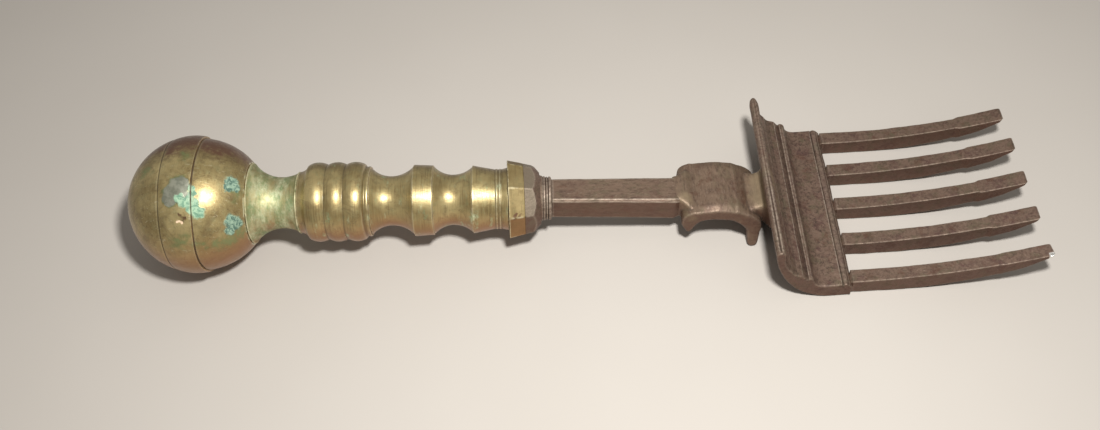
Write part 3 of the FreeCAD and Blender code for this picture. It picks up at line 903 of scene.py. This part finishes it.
def make_shank(iron):
    """The square bar with its round tang. It grows towards the saddle and tucks in under it."""
    flat = SHANK_HALF - SHANK_CHAMFER
    corners = []
    for cosine, sine in ((1, 0), (0, 1), (-1, 0), (0, -1)):
        corners += [
            (SHANK_HALF * cosine - side * sine, SHANK_HALF * sine + side * cosine)
            for side in (-flat, flat)
        ]
    section = outline(corners, soft=0.1, longest=0.35)
    angles = np.arctan2(section[:, 1], section[:, 0])
    tang = TANG_RADIUS * np.stack([np.cos(angles), np.sin(angles)], 1)
    stations = [*np.arange(TANG_END, SHANK_START, TANG_SPACING), SHANK_START + 0.02]
    rows = [np.insert(tang, 0, station, axis=1) for station in stations]
    for station in np.arange(SHANK_START + 0.03, SHANK_END, SHANK_SPACING):
        share = (station - SHANK_START) / (SHANK_END - SHANK_START)
        size = 1 + SHANK_GROWTH * share - SHANK_WAIST * math.sin(math.pi * share)
        inside = 1 - TUCK * ramp(share, TUCK_START, 1)
        drift = np.array((SHANK_DRIFT * share, 0))
        rows.append(np.insert(section * size * inside + drift, 0, station, axis=1))
    piece = skin("shank_bar", np.array(rows), flat_ends=True, place=ON_HANDLE)
    mark_edges(piece, 0.3)
    roughen(piece, (8, 0.09, 41), (1.6, 0.03, 42))
    hand_over(piece, iron, "iron", "shank")


# Saddle, head and tines

SADDLE_BACK = 11.35
SADDLE_HALF = 9.0


def extruded(shape, half, rounding, spacing=0.45):
    """Rows of an (x, z) shape across y, from -half to half, drawn in a little at both ends."""
    ahead = np.roll(shape, -1, axis=0) - np.roll(shape, 1, axis=0)
    inward = np.stack([-ahead[:, 1], ahead[:, 0]], 1) / np.hypot(*ahead.T)[:, None]
    area = (shape[:, 0] * np.roll(shape[:, 1], -1) - np.roll(shape[:, 0], -1) * shape[:, 1]).sum()
    inward *= math.copysign(1, area)
    end = [
        (half - rounding * (1 - math.sin(bend)), rounding * (1 - math.cos(bend)))
        for bend in np.linspace(0, math.pi / 2, 5)
    ]
    stations = [(-y, inset) for y, inset in reversed(end)]
    stations += [(y, 0.0) for y in np.arange(-half + rounding, half - rounding, spacing)[1:]]
    stations += end
    rows = []
    for y, inset in stations:
        drawn = shape + inward * inset
        rows.append(np.stack([drawn[:, 0], np.full(len(drawn), y), drawn[:, 1]], 1))
    return np.array(rows)


def melted(name, parts, voxel, rounds, place):
    """One closed skin over overlapping parts, with its corners softened by rounds of smoothing."""
    whole = bmesh.new()
    for part in parts:
        whole.from_mesh(part.data)
        bpy.data.objects.remove(part)
    mesh = bpy.data.meshes.new(name)
    whole.to_mesh(mesh)
    whole.free()
    rough = bpy.data.objects.new(name + "_rough", mesh)
    bpy.context.scene.collection.objects.link(rough)
    remesh = rough.modifiers.new("skin", "REMESH")
    remesh.mode = "VOXEL"
    remesh.voxel_size = voxel
    soften = rough.modifiers.new("soften", "SMOOTH")
    soften.iterations = rounds
    soften.factor = 0.5
    ready = rough.evaluated_get(bpy.context.evaluated_depsgraph_get())
    result = bpy.data.meshes.new_from_object(ready)
    result.name = name
    result.transform(place)
    result.shade_smooth()
    bpy.data.objects.remove(rough)
    piece = bpy.data.objects.new(name, result)
    bpy.context.scene.collection.objects.link(piece)
    return piece


def lofted(name, *sections):
    """A closed block through soft rectangles of (x, half width, bottom, top)."""
    count = 64
    angles = np.linspace(0, 2 * math.pi, count, endpoint=False)
    rows = []
    for x, half, bottom, top in sections:
        middle, tall = (bottom + top) / 2, (top - bottom) / 2
        corners = [(-half, -tall), (half, -tall), (half, tall), (-half, tall)]
        ring = outline(corners, soft=1.1, longest=0.3)
        around = np.arctan2(ring[:, 1], ring[:, 0])
        order = np.argsort(around)
        y, z = (np.interp(angles - math.pi, around[order], ring[order, k], period=2 * math.pi)
                for k in (0, 1))
        rows.append(np.stack([np.full(count, x), y, middle + z], 1))
    return skin(name, np.array(rows), flat_ends=True)


BEVEL_START = 6.9
BEVEL_REAR = -8.0
BEVEL_FRONT = 9.5
BEVEL_SLOPE = 0.4
CROWN_RIM = (11.6, 14.1)
FRONT_SPLAY = 0.18
REAR_SPLAY = 0.08
SPLAY_TOP = 9.0
FAR_SIDE = 1.1


def worn_bevel(rows):
    """Lowers both rims of the saddle's crown, between its rear bead and its front slope."""
    x, y, z = rows[..., 0], np.abs(rows[..., 1]), rows[..., 2]
    between = ramp(x, BEVEL_REAR, BEVEL_REAR + 4) * ramp(x, BEVEL_FRONT, BEVEL_FRONT - 3)
    drop = BEVEL_SLOPE * np.clip(y - BEVEL_START, 0, None)
    rows[..., 2] = z - drop * between * ramp(z, *CROWN_RIM)
    return rows


def splayed_horns(rows):
    """Widens both horns towards their feet, the front one more, and the side beyond the axis."""
    x, z = rows[..., 0], rows[..., 2]
    foot = ramp(z, SPLAY_TOP, 0) ** 1.5
    rows[..., 1] *= 1 + foot * np.where(x > 0, FRONT_SPLAY, REAR_SPLAY)
    rows[..., 1] *= np.where(rows[..., 1] > 0, FAR_SIDE, 1)
    return rows


def make_saddle():
    place = on_table(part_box("saddle")[0].x + SADDLE_BACK * MM)
    rubbed = [(place @ Vector(spot), radius) for spot, radius in (
        ((14.0, 3.0, 15.0), 5.5), ((14.0, -3.0, 15.0), 5.5), ((-10.5, -4.0, 15.5), 3.0),
        ((-9.0, -8.0, 13.5), 2.0),
    )]
    iron = old_iron("saddle_patina", pale=0.4, worn=0.15, stretch=(1, 0.3, 1), rubbed=rubbed)
    arch = outline([
        (-8.9, 6.8, 1.2), (-10.1, 7.4), (-11.4, 10.2), (-11.2, 12.7, 3.6), (-8.4, 15.7, 1.3),
        (-7.1, 15.9, 16), (4.1, 15.9, 1.3), (5.4, 15.6, 16), (10.5, 11.4, 6), (11.9, 5.5, 20),
        (11.4, 1.1, 1.6), (9.4, 0.15, 1.6), (8.5, 1.8), (8.1, 6.2, -11.5), (-1.2, 12.4, -5.7),
        (-8.1, 8.0),
    ], soft=0.14, longest=0.3)
    rows = splayed_horns(worn_bevel(extruded(arch, SADDLE_HALF, 0.5)))
    parts = [
        skin("arch", rows, flat_ends=True),
        lofted("rear_blend", (-13.4, 4.5, 8.6, 17.5), (-12.2, 4.75, 8.5, 17.45),
               (-10.8, 5.8, 8.6, 17.3), (-9.4, 7.1, 9.0, 16.95), (-7.8, 7.8, 9.8, 16.1),
               (-6.0, 8.0, 11.0, 14.4)),
        lofted("neck_block", (5.0, 8.4, 10.0, 13.8), (7.0, 8.0, 9.0, 14.0), (9.0, 7.3, 8.0, 14.0),
               (11.0, 6.7, 7.2, 14.2), (12.4, 6.7, 6.8, 14.9), (13.3, 7.3, 6.5, 15.9),
               (14.0, 8.2, 6.3, 16.9), (14.6, 9.0, 6.3, 16.6), (15.2, 9.6, 6.3, 14.8),
               (15.8, 10.0, 6.6, 12.6)),
    ]
    piece = melted("saddle_arch", parts, voxel=0.22, rounds=10, place=place)
    mark_edges(piece, 0.45)
    roughen(piece, (7, 0.16, 51), (1.5, 0.04, 52))
    hand_over(piece, iron, "iron", "saddle")


HEAD_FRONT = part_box("head_plate")[1].x
HEAD_HALF = 29.0
CREST = -22.5
CREST_HEIGHT = 21
QUIRK_HALF = 28.3
QUIRK_WIDTH = 0.32
QUIRK_DEPTH = 0.35
QUIRK_FAR_DEPTH = 0.25
END_NARROWS = 3.0
END_THINNING = 0.4
END_DROP = 0.5
RIM = 1.5
RIM_WEAR = 0.25


def grooved_crest(rows):
    """Sinks a fine quirk along the crest, shallower on the far side."""
    y = rows[..., 1]
    quirk = np.exp(-(((rows[..., 0] - CREST) / QUIRK_WIDTH) ** 2)) * (rows[..., 2] > CREST_HEIGHT)
    near_side = np.clip((10 - y) / 25, QUIRK_FAR_DEPTH, 1)
    rows[..., 2] -= QUIRK_DEPTH * quirk * near_side * ramp(np.abs(y), QUIRK_HALF, QUIRK_HALF - 0.5)
    return rows


def narrowed_end(rows):
    """Thins and lowers the crest over the last millimetres of its far end."""
    along = ramp(rows[..., 1], HEAD_HALF - END_NARROWS, HEAD_HALF) ** 2
    narrow = along * ramp(rows[..., 2], 18, 22)
    rows[..., 0] -= END_THINNING * narrow * (rows[..., 0] - CREST)
    rows[..., 2] -= END_DROP * narrow
    return rows


def make_head():
    rubbed = [(Vector((HEAD_FRONT - 21.5 * MM, y * MM, 17.5 * MM)), 4.5) for y in (-4.0, 0.0, 4.0)]
    # dark=0.9 gives the head deeper spots of scale and, as painted shade, a darker tone than the
    # other iron.
    iron = old_iron("head_patina_and_shade", dark=0.9, worn=0.9, rubbed=rubbed)
    shape = outline([
        (0, 0.4), (0, 3.9), (-0.8, 4.9), (-1.2, 5.1, -0.95), (-2.8, 5.1), (-3.15, 5.35, 20),
        (-5.0, 5.15, 60), (-8.0, 5.1, 3.7), (-11.1, 6.7), (-11.5, 7.9, -1.6), (-12.3, 9.15),
        (-13.1, 9.3), (-13.45, 8.85), (-13.8, 9.1), (-15.0, 10.7), (-16.8, 11.3, 5),
        (-18.4, 13.3, 8.5), (-21.0, 19.2), (-21.2, 21.5, -1.301), (-23.8, 21.5, -32),
        (-17.9, 6.5, -14.6), (-6.0, 0), (-0.4, 0),
    ], soft=0.07, longest=0.35, turn=0.12)
    rows = narrowed_end(grooved_crest(extruded(shape, HEAD_HALF, 0.45)))
    piece = skin("head_moulding", rows, flat_ends=True, place=on_table(HEAD_FRONT))
    mark_edges(piece, 0.3)
    from_end = HEAD_HALF - np.abs(points_of(piece.data)[:, 1]) / MM
    fade_wear(piece, np.clip(from_end / RIM, RIM_WEAR, 1))
    roughen(piece, (9, 0.14, 61), (1.8, 0.04, 62))
    hand_over(piece, iron, "iron", "head_plate")


# For each tine: how far its tip rises, how far it lies aside and how far its shoulder steps out.
TINES = (
    (-1.0, 0.1, 0.45), (0.0, 0.1, 0.45), (0.2, 0.0, 0.45), (0.2, -0.15, 0.45), (0.3, -0.4, 0.15),
)
TINE_LENGTH = 54.4
TINE_SHOULDER = 41.3
SHOULDER_HALF = 0.8
BELLY_START = 10
BELLY_FOOT = 0.15
CHISEL_START = 48
CHISEL_FOOT = 8.3
CHISEL_LENGTH = 5.5
CHISEL_TIP = 12.4
TOP_START = 5.25
TOP_END = (53.8, 13.8)
TOP_RADIUS = 172
BELLY_RADIUS = 88
TIP_ROUND = 1.3
TIP_LEAN = 0.15
END_ROUND = 0.22
TENON = 6.0
TENON_HALF = 1.3
TENON_HEIGHT = 2.6


def height_on_arc(x, start, end, radius):
    """Height at x on a hollow arc between two points of (x, height), its bulge downward."""
    run, rise = end[0] - start[0], end[1] - start[1]
    length = math.hypot(run, rise)
    drop = math.sqrt(radius**2 - length**2 / 4)
    centre_x = (start[0] + end[0]) / 2 - drop * rise / length
    centre_z = (start[1] + end[1]) / 2 + drop * run / length
    return centre_z - math.sqrt(radius**2 - (x - centre_x) ** 2)


def tine_top(x, rise):
    return height_on_arc(x, (0, TOP_START), (TOP_END[0], TOP_END[1] + rise), TOP_RADIUS)


def tine_bottom(x, rise):
    """Height of the underside: level from the head, then a hollow curve and the chisel's slope."""
    chisel = CHISEL_FOOT + 0.8 * rise
    if x < BELLY_START:
        return BELLY_FOOT
    if x < CHISEL_START:
        return height_on_arc(x, (BELLY_START, BELLY_FOOT), (CHISEL_START, chisel), BELLY_RADIUS)
    return chisel + (CHISEL_TIP + rise - chisel) * (x - CHISEL_START) / CHISEL_LENGTH


def tine_half(x, shoulder):
    """Half the width at x: a slight taper, a soft step out at the shoulder and a rounded tip."""
    taper = 2.2 - 0.3 * min(x / TINE_SHOULDER, 1)
    step = ramp(x, TINE_SHOULDER - SHOULDER_HALF, TINE_SHOULDER + SHOULDER_HALF)
    near_tip = ramp(x, TINE_LENGTH - TIP_ROUND, TINE_LENGTH)
    tip = TIP_ROUND * 0.75 * (1 - math.sqrt(1 - 0.97 * near_tip**2))
    return taper + shoulder * step * step * (3 - 2 * step) - tip


BROKEN_REACH = 1.0
BROKEN_SKEW = 0.5
BROKEN_LENGTH = 1.5
BROKEN_WIDTH = 4.6


def broken_corner(piece, corner):
    """Draws the tip out towards a corner and stores the bright bare metal around it in "bare"."""
    points = points_of(piece.data)
    back = (corner.x - points[:, 0]) / MM
    aside = (points[:, 1] - corner.y) / MM
    points[:, 0] += BROKEN_SKEW * MM * ramp(back, BROKEN_LENGTH, 0) * ramp(aside, BROKEN_WIDTH, 0)
    set_points(piece.data, points)
    away = np.linalg.norm(points - np.array(corner), axis=1) / (BROKEN_REACH * MM)
    back = (corner.x - points[:, 0]) / MM
    store(piece, "bare", ramp(away, 1.8, 1.5) * ramp(back, 1.05, 0.75))


def make_tine(number, rise, shift, shoulder, iron):
    """A tine: its tenon in the head, its bar and the rounded edge of its tip."""
    section = outline([(-1, -1), (1, -1), (1, 1), (-1, 1)], soft=0.075, longest=0.2)

    def row(x, half, middle, tall, lean=0.0):
        across, upward = section.T
        return np.stack([x + lean * upward, half * across, middle + tall * upward], 1)

    end = TINE_LENGTH - 0.3
    stations = np.concatenate([
        np.arange(0, TINE_SHOULDER - 0.8, 0.45),
        np.arange(TINE_SHOULDER - 0.8, TINE_SHOULDER + 0.9, 0.2),
        np.arange(TINE_SHOULDER + 1.0, end - TIP_ROUND, 0.45),
        np.arange(end - TIP_ROUND, end - 0.25, 0.12),
    ])
    rows = [row(x, TENON_HALF, TENON_HEIGHT, TENON_HALF) for x in (-TENON, -0.02)]
    for x in stations:
        top, bottom = tine_top(x, rise), tine_bottom(x, rise)
        lean = TIP_LEAN * ramp(x, 50, 53.5)
        rows.append(row(x, tine_half(x, shoulder), (top + bottom) / 2, (top - bottom) / 2, lean))
    top, bottom = tine_top(end, rise), tine_bottom(end, rise)
    for bend in np.linspace(0, math.pi / 2, 5):
        x = end - END_ROUND * (1 - math.sin(bend))
        inset = END_ROUND * (1 - math.cos(bend))
        half, tall = tine_half(end, shoulder) - inset, (top - bottom) / 2 - inset
        rows.append(row(x, half, (top + bottom) / 2, tall, TIP_LEAN))
    node = f"tine_{number}"
    low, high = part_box(node)
    place = on_table(HEAD_FRONT, (low.y + high.y) / 2 + shift * MM)
    piece = skin(f"tine_{number}_bar", np.array(rows), flat_ends=True, place=place)
    mark_edges(piece, 0.3)
    if number == len(TINES):
        broken_corner(piece, place @ Vector((end, -2.3, 13.2)))
    roughen(piece, (7, 0.10, 70 + number), (1.4, 0.03, 80 + number))
    hand_over(piece, iron, "iron", node)


# The object

make_ball()
make_grip()
make_ferrule()
patina = old_iron("iron_patina")
# The bar's edges are worn light and, with worn this high, also carry a painted highlight along its
# chamfers.
bar_patina_edge_highlight = old_iron("bar_patina_edge_highlight", pale=0.25, worn=0.95, stretch=(0.4, 1, 1))
make_collar(bar_patina_edge_highlight)
make_shank(bar_patina_edge_highlight)
make_saddle()
make_head()
for tine_number, measures in enumerate(TINES, start=1):
    make_tine(tine_number, *measures, patina)
for hidden in ("tang_washer", "tang_nut"):
    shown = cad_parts[hidden]
    for material_slot in shown.material_slots:
        material_slot.material = patina

# Floor, light and camera


FLOOR_SIZE = 5.0
FLOOR_DROP = 0.0002
FLOOR_DARK = (0.47, 0.43, 0.38, 1)
FLOOR_PALE = (0.50, 0.46, 0.41, 1)


def make_floor():
    bpy.ops.mesh.primitive_plane_add(size=FLOOR_SIZE, location=(0, 0, -FLOOR_DROP))
    floor = bpy.context.object
    floor.name = "floor"
    finish = Finish("floor_paper")
    finish.colour = finish.mix(finish.noise(60, 2), FLOOR_DARK, FLOOR_PALE)
    paper = finish.wear(0.8, 0.0, finish.bump(finish.noise(0.8, 3), 0.02, 0.2))
    floor.data.materials.append(paper)


CAMERA_PLACE = Vector((-2.618, -195.483, 273.653)) * MM
CAMERA_DOWN = 0.939
CAMERA_HEADING = 0.032
CAMERA_ROLL = 0.074
FRAME_SIZE = 36.0

forward = Vector((
    -math.sin(CAMERA_HEADING) * math.cos(CAMERA_DOWN),
    math.cos(CAMERA_HEADING) * math.cos(CAMERA_DOWN),
    -math.sin(CAMERA_DOWN),
))
level = Vector((math.cos(CAMERA_HEADING), math.sin(CAMERA_HEADING), 0))
above = level.cross(forward)
right = math.cos(CAMERA_ROLL) * level - math.sin(CAMERA_ROLL) * above
up = math.sin(CAMERA_ROLL) * level + math.cos(CAMERA_ROLL) * above


def make_camera():
    camera = bpy.data.objects.new("camera", bpy.data.cameras.new("camera"))
    bpy.context.scene.collection.objects.link(camera)
    turned = Matrix((right, up, -forward)).transposed().to_4x4()
    camera.matrix_world = Matrix.Translation(CAMERA_PLACE) @ turned
    camera.data.sensor_width = FRAME_SIZE
    camera.data.lens = FRAME_SIZE
    camera.data.clip_start = 0.01
    bpy.context.scene.camera = camera


LAMP_ASIDE = 0.035
LAMP_ABOVE = 0.08
LAMP_SIZE = 0.034
LAMP_POWER = 1.65
LAMP_TARGET = Vector((0, 0, 0.01))
SKY_COLOUR = (1.0, 0.97, 0.93, 1)
SKY_STRENGTH = 0.31


def make_light():
    """A small soft lamp beside and above the camera, and an even pale sky."""
    data = bpy.data.lights.new("key", "AREA")
    data.shape = "DISK"
    data.size = LAMP_SIZE
    data.energy = LAMP_POWER
    place = CAMERA_PLACE + LAMP_ASIDE * right + LAMP_ABOVE * up
    lamp = bpy.data.objects.new("key", data)
    lamp.location = place
    lamp.rotation_euler = (LAMP_TARGET - place).to_track_quat("-Z", "Y").to_euler()
    bpy.context.scene.collection.objects.link(lamp)
    world = bpy.data.worlds.new("studio")
    world.use_nodes = True
    background = world.node_tree.nodes["Background"]
    background.inputs["Color"].default_value = SKY_COLOUR
    background.inputs["Strength"].default_value = SKY_STRENGTH
    bpy.context.scene.world = world
    bpy.context.scene.view_settings.view_transform = "Standard"


make_floor()
make_camera()
make_light()
